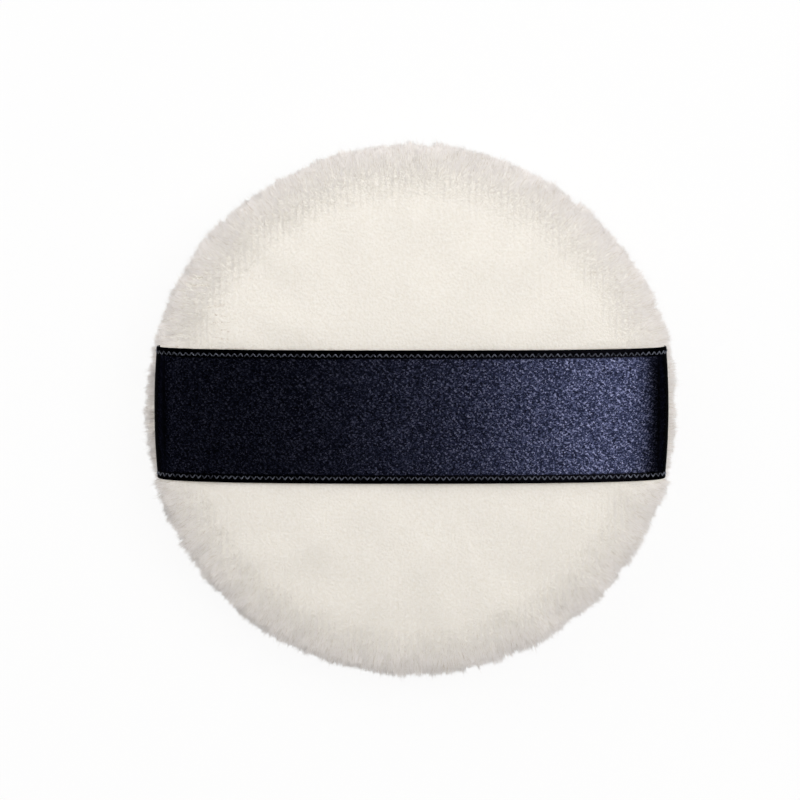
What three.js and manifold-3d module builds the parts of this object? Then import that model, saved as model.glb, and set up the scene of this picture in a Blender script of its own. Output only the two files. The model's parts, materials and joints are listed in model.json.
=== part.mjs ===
import * as THREE from "three";
import { mergeGeometries, mergeVertices } from "three/addons/utils/BufferGeometryUtils.js";
import Module from "manifold-3d";

// Powder puff, lying on its application face with the ribbon side up.
// Millimetres, +Z up. The origin is the middle of the application face, and the ribbon runs along X.

// Pad
const PAD_DIAMETER = 80; // over the pile
const PAD_THICKNESS = 16; // from the application face to the crown of the pile
const REST_FACE_DIAMETER = 58; // the part of the application face that lies flat
const PLUSH_THICKNESS = 3; // knitted ground and pile together
const CROWN_FULLNESS = 2.5; // exponent of the crown's section, where 2 is an ellipse
const SEAM_HEIGHT = 7.4; // middle of the rim seam above the application face
const SEAM_DRAW = 0.9; // how far the seam draws the rim in
const RIM_RISE = 0.4; // from the sewn seam to the fullest ring of each panel
const SEAM_ALLOWANCE = 4.5; // edge of each panel that is turned in
const ALLOWANCE_THICKNESS = 0.8; // ground cloth alone, with the pile sheared off
const SEAM_GAP = 0.3; // between the two turned-in edges
const CORE_CLEARANCE = 0.3; // sponge to plush and to the sewn seam

// Ribbon
const RIBBON_WIDTH = 20;
const RIBBON_THICKNESS = 0.4;
const RIBBON_PROUD = 0.2; // above the pile at the crown
const RIBBON_SINK = 1.15; // below the fullest ring of the pile at the rim
const RIBBON_BEND = 1.4; // radius of the turn from the rim into the seam
const RIBBON_CLEARANCE = 0.2; // ribbon to plush, in the seam and where it presses the pile down

// Rim seam, a machine lockstitch that stops at the gap the pad was turned through
const STITCH_LENGTH = 4;
const STITCH_INSET = 1.6; // from the inside of the rim to the stitch line
const STITCH_LEG_OFFSET = 0.3; // from the middle of a needle hole to each leg of the loop in it
const SEAM_THREAD_DIAMETER = 0.3;
const THREAD_CLEARANCE = 0.1;
const CLOSURE_LENGTH = 30; // hand-sewn stretch of the rim
const CLOSURE_ANGLE = Math.PI / 2; // middle of that stretch, on the +Y side
const LADDER_LENGTH = 3; // from one rung of the hand stitch to the next
const CLOSURE_OUTSET = 0.4; // from the drawn-in edge out to the hand stitch, between the two lips

// Zigzag that binds each long edge of the ribbon
const EDGE_STITCH_PITCH = 0.95;
const EDGE_STITCH_WIDTH = 0.5;
const EDGE_STITCH_INSET = 0.85; // from the ribbon's edge to the middle of the zigzag
const EDGE_THREAD_DIAMETER = 0.24;

// Facets
const AROUND = 48;
const CROWN_STEPS = 9;
const CORE_STEPS = 6;
const SHOULDER_STEPS = 5;
const LIP_STEPS = 3;
const RIBBON_CROWN_STEPS = 16;
const BEND_STEPS = 4;
const SEAM_THREAD_SIDES = 4;
const EDGE_THREAD_SIDES = 3;
const LENGTH_SAMPLES = 400; // points that measure the ribbon's length
const MERGE_DISTANCE = 1e-4;

// Sizes that follow from those above
const PAD_RADIUS = PAD_DIAMETER / 2;
const REST_FACE_RADIUS = REST_FACE_DIAMETER / 2;
const SEAM_RADIUS = PAD_RADIUS - SEAM_DRAW;
const CAVITY_RADIUS = PAD_RADIUS - PLUSH_THICKNESS;
const ALLOWANCE_RADIUS = CAVITY_RADIUS - SEAM_ALLOWANCE;
const STITCH_RADIUS = CAVITY_RADIUS - STITCH_INSET;
const THREAD_RUN = SEAM_GAP / 2 + ALLOWANCE_THICKNESS + THREAD_CLEARANCE + SEAM_THREAD_DIAMETER / 2;
const GROOVE_HALF_HEIGHT = THREAD_RUN + SEAM_THREAD_DIAMETER / 2 + CORE_CLEARANCE;
const BACK_RIM_HEIGHT = SEAM_HEIGHT + GROOVE_HALF_HEIGHT + RIM_RISE;
const FACE_RIM_HEIGHT = SEAM_HEIGHT - GROOVE_HALF_HEIGHT - RIM_RISE;
const CROWN_HEIGHT = PAD_THICKNESS - BACK_RIM_HEIGHT;
const RIBBON_BASE = SEAM_HEIGHT + RIBBON_BEND;
const RIBBON_REACH = PAD_RADIUS - RIBBON_SINK - RIBBON_THICKNESS / 2;
const RIBBON_RISE = PAD_THICKNESS + RIBBON_PROUD - RIBBON_THICKNESS / 2 - RIBBON_BASE;

const wasm = await Module();
wasm.setup();

const materials = {
  plush: { color: 0xece5da, roughness: 0.95, metalness: 0 },
  sponge: { color: 0xf2eee2, roughness: 0.9, metalness: 0 },
  satin: { color: 0x181c30, roughness: 0.4, metalness: 0 },
  creamThread: { color: 0xe6dfd2, roughness: 0.8, metalness: 0 },
  navyThread: { color: 0x2a2e44, roughness: 0.6, metalness: 0 },
};

function namedMesh(name, geometry, look) {
  const mesh = new THREE.Mesh(geometry, new THREE.MeshStandardMaterial(look));
  mesh.name = name;
  return mesh;
}

// Closed solid for cutting, with shared corners merged and the empty triangles on an axis left out.
function solidFrom(geometry) {
  const bare = new THREE.BufferGeometry();
  bare.setAttribute("position", geometry.getAttribute("position"));
  bare.setIndex(geometry.getIndex());
  const merged = mergeVertices(bare, MERGE_DISTANCE);
  const corners = merged.getIndex().array;
  const triangles = [];
  for (let i = 0; i < corners.length; i += 3) {
    const [a, b, c] = corners.slice(i, i + 3);
    if (a !== b && b !== c && c !== a) triangles.push(a, b, c);
  }
  const vertProperties = merged.getAttribute("position").array;
  const triVerts = new Uint32Array(triangles);
  return new wasm.Manifold(new wasm.Mesh({ numProp: 3, vertProperties, triVerts }));
}

function geometryFrom(solid) {
  const { vertProperties, triVerts } = solid.getMesh();
  const geometry = new THREE.BufferGeometry();
  geometry.setAttribute("position", new THREE.BufferAttribute(vertProperties, 3));
  geometry.setIndex(new THREE.BufferAttribute(triVerts, 1));
  return geometry;
}

// Revolves a section of (radius, height) points about Z.
function revolved(section) {
  return new THREE.LatheGeometry(section, AROUND).rotateX(Math.PI / 2);
}

// Extrudes an outline of (x, z) points along Y, evenly to both sides of the XZ plane.
function extrudedAcross(outline, width) {
  const shape = new THREE.Shape(outline);
  const geometry = new THREE.ExtrudeGeometry(shape, { depth: width, bevelEnabled: false });
  return geometry.rotateX(Math.PI / 2).translate(0, width / 2, 0);
}

// Crown of a cushion's section, from its rim at (radius, base) up to (0, base + height).
function crownSection(radius, base, height, steps) {
  const power = 2 / CROWN_FULLNESS;
  const points = [];
  for (let i = 0; i < steps; i++) {
    const t = (Math.PI / 2) * (i / steps);
    points.push(new THREE.Vector2(radius * Math.cos(t) ** power, base + height * Math.sin(t) ** power));
  }
  points.push(new THREE.Vector2(0, base + height));
  return points;
}

// Rounded lower edge, from the flat face at (inner, bottom) out and up to (outer, top).
function shoulderSection(inner, outer, bottom, top) {
  const points = [];
  for (let i = 0; i <= SHOULDER_STEPS; i++) {
    const t = (Math.PI / 2) * (i / SHOULDER_STEPS);
    const radius = inner + (outer - inner) * Math.sin(t);
    points.push(new THREE.Vector2(radius, top - (top - bottom) * Math.cos(t)));
  }
  return points;
}

// Lip that the seam draws in, from the fullest ring at rimHeight to the edge at seamHeight.
function lipSection(rimHeight, seamHeight) {
  const points = [];
  for (let i = 1; i <= LIP_STEPS; i++) {
    const t = (Math.PI / 2) * (i / LIP_STEPS);
    const radius = SEAM_RADIUS + SEAM_DRAW * Math.cos(t);
    points.push(new THREE.Vector2(radius, rimHeight + (seamHeight - rimHeight) * Math.sin(t)));
  }
  return points;
}

// Turned-in edge of a panel, from the seam's flat to the inside of the rim. side is 1 above, -1 below.
function allowanceSection(side) {
  const flat = SEAM_HEIGHT + (side * SEAM_GAP) / 2;
  const inside = flat + side * ALLOWANCE_THICKNESS;
  return [
    new THREE.Vector2(ALLOWANCE_RADIUS, flat),
    new THREE.Vector2(ALLOWANCE_RADIUS, inside),
    new THREE.Vector2(CAVITY_RADIUS, inside),
  ];
}

function backPanel(needleHoles, ribbonRoom) {
  const outside = crownSection(PAD_RADIUS, BACK_RIM_HEIGHT, CROWN_HEIGHT, CROWN_STEPS).reverse();
  const cavityRise = CROWN_HEIGHT - PLUSH_THICKNESS;
  const section = [
    ...outside,
    ...lipSection(BACK_RIM_HEIGHT, SEAM_HEIGHT + SEAM_GAP / 2),
    ...allowanceSection(1),
    ...crownSection(CAVITY_RADIUS, BACK_RIM_HEIGHT, cavityRise, CROWN_STEPS),
  ].reverse();
  return geometryFrom(solidFrom(revolved(section)).subtract(ribbonRoom).subtract(needleHoles));
}

function facePanel(needleHoles, ribbonRoom) {
  const shoulder = shoulderSection(REST_FACE_RADIUS, PAD_RADIUS, 0, FACE_RIM_HEIGHT);
  const cavity = shoulderSection(REST_FACE_RADIUS, CAVITY_RADIUS, PLUSH_THICKNESS, FACE_RIM_HEIGHT);
  const section = [
    new THREE.Vector2(0, 0),
    ...shoulder,
    ...lipSection(FACE_RIM_HEIGHT, SEAM_HEIGHT - SEAM_GAP / 2),
    ...allowanceSection(-1),
    ...cavity.reverse(),
    new THREE.Vector2(0, PLUSH_THICKNESS),
  ];
  return geometryFrom(solidFrom(revolved(section)).subtract(ribbonRoom).subtract(needleHoles));
}

// Sponge disc that fills both panels, with a groove round its rim for the sewn seam.
function spongeCore() {
  const radius = CAVITY_RADIUS - CORE_CLEARANCE;
  const bottom = PLUSH_THICKNESS + CORE_CLEARANCE;
  const rise = CROWN_HEIGHT - PLUSH_THICKNESS - CORE_CLEARANCE;
  const grooveRadius = ALLOWANCE_RADIUS - CORE_CLEARANCE;
  const grooveBottom = SEAM_HEIGHT - GROOVE_HALF_HEIGHT;
  const grooveTop = SEAM_HEIGHT + GROOVE_HALF_HEIGHT;
  const section = [
    new THREE.Vector2(0, bottom),
    ...shoulderSection(REST_FACE_RADIUS, radius, bottom, FACE_RIM_HEIGHT),
    new THREE.Vector2(radius, grooveBottom),
    new THREE.Vector2(grooveRadius, grooveBottom),
    new THREE.Vector2(grooveRadius, grooveTop),
    new THREE.Vector2(radius, grooveTop),
    ...crownSection(radius, BACK_RIM_HEIGHT, rise, CORE_STEPS),
  ];
  return geometryFrom(solidFrom(revolved(section)));
}

// Half of the ribbon's middle line, from the turn at the seam to the crown, with its outward normals.
function ribbonHalf(crownSteps) {
  const stations = [];
  for (let i = 0; i < BEND_STEPS; i++) {
    const t = (Math.PI / 2) * (i / BEND_STEPS);
    const normal = new THREE.Vector2(Math.sin(t), -Math.cos(t));
    const centre = new THREE.Vector2(RIBBON_REACH - RIBBON_BEND, RIBBON_BASE);
    stations.push({ point: centre.addScaledVector(normal, RIBBON_BEND), normal });
  }
  for (const point of crownSection(RIBBON_REACH, RIBBON_BASE, RIBBON_RISE, crownSteps)) {
    const across = (point.x / RIBBON_REACH) ** (CROWN_FULLNESS - 1) / RIBBON_REACH;
    const up = ((point.y - RIBBON_BASE) / RIBBON_RISE) ** (CROWN_FULLNESS - 1) / RIBBON_RISE;
    stations.push({ point, normal: new THREE.Vector2(across, up).normalize() });
  }
  return stations;
}

function mirrored(vector) {
  return new THREE.Vector2(-vector.x, vector.y);
}

function mirroredStation({ point, normal }) {
  return { point: mirrored(point), normal: mirrored(normal) };
}

// The whole middle line over the pad, from the right-hand turn to the left-hand one.
function ribbonLine(crownSteps) {
  const right = ribbonHalf(crownSteps);
  const left = right.slice(0, -1).reverse();
  return right.concat(left.map(mirroredStation));
}

function offsetPoints(line, distance) {
  return line.map(({ point, normal }) => point.clone().addScaledVector(normal, distance));
}

// The middle line with both tails, which end flush with the turned-in edges of the panels.
function ribbonWithTails(tailEnd) {
  const down = new THREE.Vector2(0, -1);
  const tail = new THREE.Vector2(tailEnd, SEAM_HEIGHT);
  return [
    { point: tail, normal: down },
    ...ribbonLine(RIBBON_CROWN_STEPS),
    { point: mirrored(tail), normal: down },
  ];
}

// Satin band with both tails caught between the turned-in edges of the panels.
function ribbonStrap(needleHoles) {
  const line = ribbonWithTails(ALLOWANCE_RADIUS);
  const outline = [
    ...offsetPoints(line, RIBBON_THICKNESS / 2),
    ...offsetPoints(line, -RIBBON_THICKNESS / 2).reverse(),
  ];
  return geometryFrom(solidFrom(extrudedAcross(outline, RIBBON_WIDTH)).subtract(needleHoles));
}

// Room for the ribbon in the seam and in the pile that it presses down, open upwards and outwards.
function ribbonRoom() {
  const reach = RIBBON_THICKNESS / 2 + RIBBON_CLEARANCE;
  const tailEnd = ALLOWANCE_RADIUS - RIBBON_CLEARANCE;
  const floor = SEAM_HEIGHT - reach;
  const outline = [
    ...offsetPoints(ribbonWithTails(tailEnd), -reach),
    new THREE.Vector2(-tailEnd, floor),
    new THREE.Vector2(-PAD_DIAMETER, floor),
    new THREE.Vector2(-PAD_DIAMETER, 2 * PAD_THICKNESS),
    new THREE.Vector2(PAD_DIAMETER, 2 * PAD_THICKNESS),
    new THREE.Vector2(PAD_DIAMETER, floor),
    new THREE.Vector2(tailEnd, floor),
  ];
  return solidFrom(extrudedAcross(outline, RIBBON_WIDTH + 2 * RIBBON_CLEARANCE));
}

// Angles of the machine stitches round the rim, leaving the hand-sewn stretch free.
function stitchAngles() {
  const sewn = 2 * Math.PI - CLOSURE_LENGTH / STITCH_RADIUS;
  const count = Math.round((sewn * STITCH_RADIUS) / STITCH_LENGTH);
  const first = CLOSURE_ANGLE + Math.PI - sewn / 2;
  return Array.from({ length: count + 1 }, (_, i) => first + (sewn * i) / count);
}

function aroundRim(radius, angle, height) {
  return new THREE.Vector3(radius * Math.cos(angle), radius * Math.sin(angle), height);
}

function needleHoles() {
  const width = SEAM_THREAD_DIAMETER + 2 * THREAD_CLEARANCE;
  const length = 2 * STITCH_LEG_OFFSET + width;
  const height = 2 * GROOVE_HALF_HEIGHT;
  const holes = stitchAngles().map((angle) => {
    const { x, y } = aroundRim(STITCH_RADIUS, angle, 0);
    return new THREE.BoxGeometry(width, length, height).rotateZ(angle).translate(x, y, SEAM_HEIGHT);
  });
  return solidFrom(mergeGeometries(holes));
}

// Closed thread along stations, each with its point and the two directions of its section.
function threadAlong(stations, diameter, sides) {
  const positions = [];
  for (const { point, across, up } of stations) {
    for (let k = 0; k < sides; k++) {
      const turn = (2 * Math.PI * (k + 0.5)) / sides;
      const corner = point.clone();
      corner.addScaledVector(across, (diameter / 2) * Math.cos(turn));
      corner.addScaledVector(up, (diameter / 2) * Math.sin(turn));
      positions.push(corner.x, corner.y, corner.z);
    }
  }
  const index = [];
  const last = (stations.length - 1) * sides;
  for (let k = 1; k < sides - 1; k++) {
    index.push(0, k + 1, k);
    index.push(last, last + k, last + k + 1);
  }
  for (let i = 0; i < last; i += sides) {
    for (let k = 0; k < sides; k++) {
      const next = (k + 1) % sides;
      index.push(i + k, i + next, i + next + sides);
      index.push(i + k, i + next + sides, i + k + sides);
    }
  }
  const geometry = new THREE.BufferGeometry();
  geometry.setAttribute("position", new THREE.Float32BufferAttribute(positions, 3));
  return geometry.setIndex(index);
}

// Thread that follows the rim through (angle, height) places at one radius.
function rimThread(places, radius, diameter) {
  const points = places.map(({ angle, height }) => aroundRim(radius, angle, height));
  const stations = points.map((point, i) => {
    const before = points[Math.max(i - 1, 0)];
    const after = points[Math.min(i + 1, points.length - 1)];
    const along = after.clone().sub(before).normalize();
    const across = aroundRim(1, places[i].angle, 0);
    return { point, across, up: along.clone().cross(across).normalize() };
  });
  return threadAlong(stations, diameter, SEAM_THREAD_SIDES);
}

// One thread of the lockstitch. It runs along its own side and dips into each hole to meet the other thread.
function lockstitchThread(side) {
  const leg = STITCH_LEG_OFFSET / STITCH_RADIUS;
  const run = SEAM_HEIGHT + side * THREAD_RUN;
  const dip = SEAM_HEIGHT + (side * (SEAM_THREAD_DIAMETER + THREAD_CLEARANCE)) / 2;
  const places = stitchAngles().flatMap((angle) => [
    { angle: angle - leg, height: run },
    { angle: angle - leg, height: dip },
    { angle: angle + leg, height: dip },
    { angle: angle + leg, height: run },
  ]);
  return rimThread(places, STITCH_RADIUS, SEAM_THREAD_DIAMETER);
}

// Hand ladder stitch that closes the rim between the two lips, crossing to the other lip at each rung.
function closingThread() {
  const radius = SEAM_RADIUS + CLOSURE_OUTSET;
  const rungs = Math.round(CLOSURE_LENGTH / LADDER_LENGTH);
  const step = CLOSURE_LENGTH / STITCH_RADIUS / rungs;
  const first = CLOSURE_ANGLE - (rungs * step) / 2;
  const slant = SEAM_THREAD_DIAMETER / radius;
  const places = [];
  for (let i = 0; i < rungs; i++) {
    const height = SEAM_HEIGHT + (i % 2 ? -THREAD_CLEARANCE : THREAD_CLEARANCE);
    places.push({ angle: first + i * step + slant, height });
    places.push({ angle: first + (i + 1) * step - slant, height });
  }
  return rimThread(places, radius, SEAM_THREAD_DIAMETER);
}

// Stations at even steps along the ribbon's upper face, measured on its middle line.
function evenRibbonStations(spacing) {
  const line = ribbonLine(LENGTH_SAMPLES / 2).slice(BEND_STEPS, -BEND_STEPS);
  const lengths = [0];
  for (let i = 1; i < line.length; i++) {
    lengths.push(lengths[i - 1] + line[i].point.distanceTo(line[i - 1].point));
  }
  const total = lengths.at(-1);
  const count = Math.round(total / spacing);
  const stations = [];
  let k = 0;
  for (let i = 0; i <= count; i++) {
    const wanted = (total * i) / count;
    while (k < line.length - 2 && lengths[k + 1] < wanted) k++;
    const share = (wanted - lengths[k]) / (lengths[k + 1] - lengths[k]);
    const point = line[k].point.clone().lerp(line[k + 1].point, share);
    const normal = line[k].normal.clone().lerp(line[k + 1].normal, share).normalize();
    stations.push({ point, normal });
  }
  return stations;
}

// Zigzag thread on the upper face along one long edge of the ribbon. side is 1 at +Y, -1 at -Y.
function edgeThread(side) {
  const lift = (RIBBON_THICKNESS + EDGE_THREAD_DIAMETER) / 2 + THREAD_CLEARANCE;
  const middle = RIBBON_WIDTH / 2 - EDGE_STITCH_INSET;
  const stations = evenRibbonStations(EDGE_STITCH_PITCH / 2).map(({ point, normal }, i) => {
    const { x, y: z } = point.clone().addScaledVector(normal, lift);
    const y = side * (middle + (i % 2 ? EDGE_STITCH_WIDTH : -EDGE_STITCH_WIDTH) / 2);
    const across = new THREE.Vector3(0, -1, 0);
    return { point: new THREE.Vector3(x, y, z), across, up: new THREE.Vector3(normal.x, 0, normal.y) };
  });
  return threadAlong(stations, EDGE_THREAD_DIAMETER, EDGE_THREAD_SIDES);
}

const holes = needleHoles();
const room = ribbonRoom();
const pad = new THREE.Group();
pad.add(
  namedMesh("face_panel", facePanel(holes, room), materials.plush),
  namedMesh("back_panel", backPanel(holes, room), materials.plush),
  namedMesh("sponge_core", spongeCore(), materials.sponge),
  namedMesh("seam_needle_thread", lockstitchThread(1), materials.creamThread),
  namedMesh("seam_bobbin_thread", lockstitchThread(-1), materials.creamThread),
  namedMesh("closing_thread", closingThread(), materials.creamThread),
);
const ribbon = new THREE.Group();
ribbon.add(
  namedMesh("ribbon_strap", ribbonStrap(holes), materials.satin),
  namedMesh("ribbon_upper_edge_thread", edgeThread(1), materials.navyThread),
  namedMesh("ribbon_lower_edge_thread", edgeThread(-1), materials.navyThread),
);

const puff = new THREE.Group();
puff.add(pad, ribbon);

export default puff;
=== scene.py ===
# Powder puff: a cream plush pad over a sponge disc, sewn round the rim, with a navy satin ribbon on its back.
# Metres, +Z up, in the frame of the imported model: the puff lies on its application face, the ribbon along X.
import json
import math

import bpy
import numpy as np
from mathutils.kdtree import KDTree
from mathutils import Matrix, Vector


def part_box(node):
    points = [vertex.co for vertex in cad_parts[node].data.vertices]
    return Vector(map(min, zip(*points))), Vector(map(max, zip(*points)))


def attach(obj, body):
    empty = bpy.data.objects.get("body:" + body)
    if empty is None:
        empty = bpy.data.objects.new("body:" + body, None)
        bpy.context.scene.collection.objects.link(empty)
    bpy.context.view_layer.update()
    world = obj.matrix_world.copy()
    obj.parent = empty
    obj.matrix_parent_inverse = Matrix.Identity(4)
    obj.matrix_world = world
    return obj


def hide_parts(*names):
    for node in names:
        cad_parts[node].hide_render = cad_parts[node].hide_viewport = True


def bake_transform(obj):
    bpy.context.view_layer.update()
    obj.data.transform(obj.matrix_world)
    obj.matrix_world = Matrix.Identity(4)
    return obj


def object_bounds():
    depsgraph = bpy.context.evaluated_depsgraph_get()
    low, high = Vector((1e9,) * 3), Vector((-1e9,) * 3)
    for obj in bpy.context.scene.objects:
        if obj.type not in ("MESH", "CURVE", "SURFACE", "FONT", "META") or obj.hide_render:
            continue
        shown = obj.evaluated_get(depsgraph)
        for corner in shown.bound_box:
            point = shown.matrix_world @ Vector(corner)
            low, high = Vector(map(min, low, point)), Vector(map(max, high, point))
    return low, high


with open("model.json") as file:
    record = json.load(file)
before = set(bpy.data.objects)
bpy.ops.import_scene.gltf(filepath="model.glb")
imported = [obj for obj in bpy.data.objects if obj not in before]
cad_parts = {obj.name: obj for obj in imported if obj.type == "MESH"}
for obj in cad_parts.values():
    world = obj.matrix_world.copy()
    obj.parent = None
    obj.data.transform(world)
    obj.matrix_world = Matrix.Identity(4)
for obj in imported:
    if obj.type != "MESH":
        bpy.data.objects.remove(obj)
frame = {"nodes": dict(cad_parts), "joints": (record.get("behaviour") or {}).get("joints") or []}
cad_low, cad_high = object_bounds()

MM = 0.001
SEED = 11

# Pad, from the frame
PAD_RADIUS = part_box("face_panel")[1].y
RIBBON_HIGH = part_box("ribbon_strap")[1]
SEAM_HEIGHT = frame["joints"][0]["deforming_nodes"][0]["fixed_end_z_m"]
RIBBON_PROUD = 0.2 * MM
PAD_TOP = RIBBON_HIGH.z - RIBBON_PROUD
CROWN_FULLNESS = 2.5
SEAM_TO_RIM = 2.05 * MM
BACK_RIM_HEIGHT = SEAM_HEIGHT + SEAM_TO_RIM
FACE_RIM_HEIGHT = SEAM_HEIGHT - SEAM_TO_RIM
REST_FACE_RADIUS = 29 * MM

# Points round the pad, and rows of points along each stretch of a panel's section
AROUND = 192
CROWN_ROWS = 48
LIP_ROWS = 8
FLAT_ROWS = 20
SHOULDER_ROWS = 24
CAVITY_CROWN_ROWS = 24
CAVITY_SHOULDER_ROWS = 16

# Ground cloth of both panels, under the pile
PILE_AT_CROWN = 0.45 * MM
PILE_AT_RIM = 0.9 * MM
PILE_AT_FACE = 0.4 * MM
GROUND_RADIUS = PAD_RADIUS - PILE_AT_RIM
GROUND_TOP = PAD_TOP - PILE_AT_CROWN
SEAM_DRAW = 0.7 * MM
SEAM_HALF_GAP = 0.15 * MM
PANEL_THICKNESS = 3 * MM
CAVITY_RADIUS = PAD_RADIUS - PANEL_THICKNESS
CAVITY_INSET = 0.6 * MM
ALLOWANCE = 4.5 * MM
ALLOWANCE_THICKNESS = 0.8 * MM

# Cloth simulation of the cover, at a scale that suits the solver, and the unevenness that it starts from
CLOTH_SCALE = 10
CLOTH_FRAMES = 20
SWELL = 0.5 * MM
PUCKER_SHARE = 0.3
PUCKER_CAP = 0.15 * MM
BROAD_WAVE_HEIGHT = 0.08 * MM
BROAD_WAVE_LENGTH = 22 * MM
FINE_WAVE_HEIGHT = 0.06 * MM
FINE_WAVE_LENGTH = 7 * MM

# Sponge
FOAM_CLEARANCE = 0.4 * MM
FOAM_GROOVE_CLEARANCE = 0.5 * MM
FOAM_CELL = 1.7 * MM
FOAM_CELL_WAVES = 40
FOAM_HOLLOW = 3.5 * MM
FOAM_CELL_DEPTH = 0.14 * MM

# Pile of each panel: the radii over which it grows to its length at the rim, the slopes over which its
# shading is lifted towards the light, and the slopes over which it falls into tufts
BACK_PILE = {"rim": (31 * MM, 39.2 * MM), "lift": (-0.9, -0.2), "flank": (0.7, 0.1)}
FACE_PILE = {"rim": (28 * MM, 35 * MM), "lift": (-0.95, 0.2), "flank": (1.05, 0.75)}
# Strands on a square millimetre of the middle, those added at the rim, and the radii between the two
BACK_DENSITY = {"middle": 36, "added": 16, "between": (30 * MM, 36 * MM)}
FACE_DENSITY = {"middle": 30, "added": 14, "between": (28 * MM, 35 * MM)}
CROWN_PILE_LENGTH = 0.6 * MM
RIM_PILE_LENGTH = 1.35 * MM
STRAND_RADIUS = 0.032 * MM
STRAND_RADIUS_SPREAD = (0.8, 1.2)
STRAND_TAPER = 0.75
STRAND_TAPER_POWER = 1.5
ROOT_DEPTH = 0.1 * MM
LONG_PILE_FROM = 0.1
MOST_TRIANGLES = 190000
NAP = np.array([0.02, -0.16, 0])
RIM_FALL = np.array([0, 0, -0.08])
RIM_LEAN = 0.32

# Shares of the strands that lead a tuft or a lock, stray from it, take painted shade in their tint, or cast
# shadows
TUFT_SHARE = 0.045
LOCK_SHARE = 0.010
STRAY_SHARE = 0.04
PAINTED_SHADE_SHARE = 0.11
SHADOWING_SHARE = 0.06

# How far tufts and locks turn, differ in length, close up and ripple: what holds anywhere, what the rim adds,
# and what the flank adds
TUFT_TURN = (0.02, 0.04, 0.05)
LOCK_TURN = (0.01, 0.04, 0.10)
TUFT_UNEVEN = (0.03, 0.04, 0.06)
LOCK_UNEVEN = (0, 0.04, 0.10)
TUFT_PULL = (0.04, 0.06, 0.13)
RIPPLE_SHARE = (0.2, 0.2, 0.6)
# How far a single strand turns: anywhere, more at the rim, more where it strays
STRAND_TURN = (0.07, 0.03, 0.25)
STRAND_UNEVEN = 0.09
STRAND_GROWTH = (0.5, 1.5)
STRAY_GROWTH = 0.5

# Tint of the strands, from painted shade at 0 to the whiter rim at 1, and the tilt of their shading
CROWN_TINT = 0.32
RIM_ADDED_TINT = 0.55
WALE_TINT = 0.17
TUFT_TINT = 0.07
STRAND_TINT = 0.05
PAINTED_SHADE_TINT = 0.05
TINT_LIMITS = (0.1, 0.98)
SHADING_LIFT = 0.8
LOCK_RIPPLE = 0.15
TUFT_RIPPLE = 0.11
STRAND_RIPPLE = 0.05

# Wales of the knit: their pitch, and the share of it by which roots draw together
WALE_PITCH = 0.95 * MM
WALE_GATHER = 0.16

# Strands' places on their map: U is the tint, V runs from root to tip, and each corner stands a little apart
MAP_ROOT = 0.02
MAP_RUN = 0.94
MAP_TIP = 0.98
MAP_APART = 0.012

# Short creases beside the ribbon's left end, each from (x, y) to (x, y), and the pile that lies down in them,
# with painted shade in its tint
CREASES = np.array([[-32.9, 19.1, -30.4, 19.3], [-32.4, 20.1, -30.9, 20.4], [-30.2, 16.2, -28.2, 16.5],
                    [-29.6, 15.1, -27.8, 14.9], [-29.9, 13.8, -27.1, 14.1], [-28.9, 13.0, -27.5, 12.7],
                    [-29.6, 11.8, -26.9, 11.4]]) * MM
CREASE_WIDTH = 0.2 * MM
CREASE_LAY = 0.55 * MM
CREASE_HEIGHT = 0.32 * MM
CREASE_ARCH = 0.1 * MM
CREASE_PAINTED_SHADE_TINT = 0.025
CREASE_SHADING = 0.4

# Pile pressed flat under the ribbon
COVERED_MARGIN = 0.25 * MM
PRESSED_REACH = 36 * MM
PRESSED_ROOM_REACH = 37 * MM
PRESSED_SHARE = 0.6
PRESSED_LENGTH = 0.5 * MM
PRESSED_RADIUS = 0.06 * MM
PRESSED_ROOT_DEPTH = 0.05 * MM
PRESSED_HEIGHT = 0.06 * MM
PRESSED_ADDED_HEIGHT = 0.12 * MM
PRESSED_ARCH = 0.05 * MM
PRESSED_SIDE_MARGIN = 0.1 * MM
PRESSED_TINT = 0.2
PRESSED_TINT_SPREAD = 0.08
PRESSED_TINT_LIMITS = (0.02, 0.98)

# Pile on the application side, kept above what the puff lies on
REST_FLOOR = 0.03 * MM
REST_TIP_SPREAD = 0.1 * MM
REST_ARCH = 0.05 * MM

# Ribbon
RIBBON_THICKNESS = 0.4 * MM
RIBBON_HALF_WIDTH = RIBBON_HIGH.y
RIBBON_BEND = 1.4 * MM
RIBBON_REACH = RIBBON_HIGH.x - RIBBON_THICKNESS / 2
RIBBON_BASE = SEAM_HEIGHT + RIBBON_BEND
RIBBON_RISE = RIBBON_HIGH.z - RIBBON_THICKNESS / 2 - RIBBON_BASE
RIBBON_CORNER_PULL = 0.45 * MM
RIBBON_PRESS = 0.55 * MM
RIBBON_STEP = 0.45 * MM
RIBBON_CROWN_POINTS = 400
RIBBON_BEND_POINTS = 40
RIBBON_SIDE_CLEARANCE = 0.12 * MM
TAIL_END = CAVITY_RADIUS - ALLOWANCE

# Zigzag stitching on the ribbon's edges
STITCH_PITCH = 0.95 * MM
STITCH_POINTS = 16
STITCH_WIDTH = 0.5 * MM
STITCH_INSET = 0.85 * MM
STITCH_HALF_WIDTH = 0.105 * MM
STITCH_HALF_HEIGHT = 0.07 * MM
STITCH_LIFT = 0.14 * MM
STITCH_EDGE_LIFT = 0.07 * MM
STITCH_SHARPNESS = 0.97
STITCH_ABOVE_SEAM = 0.4 * MM
STITCH_SIDES = 8

# Satin weave
FLOAT_LENGTH = 0.18 * MM
FLOAT_WIDTH = 0.16 * MM
TWILL_PITCH = 0.45 * MM
WAVE_PERIOD_AT_SCALE_ONE = 0.1 * math.pi

# Photograph's frame: its width, the size of a pixel at the rim, and the place at its middle
PHOTO_WIDTH = 800
PIXEL = 0.1507 * MM
PHOTO_MIDDLE = np.array([-1.73 * MM, 1.84 * MM, BACK_RIM_HEIGHT])
CAMERA_LEAN = math.radians(6.5)
CAMERA_DISTANCE = 0.53
CAMERA_SENSOR = 36

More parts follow.
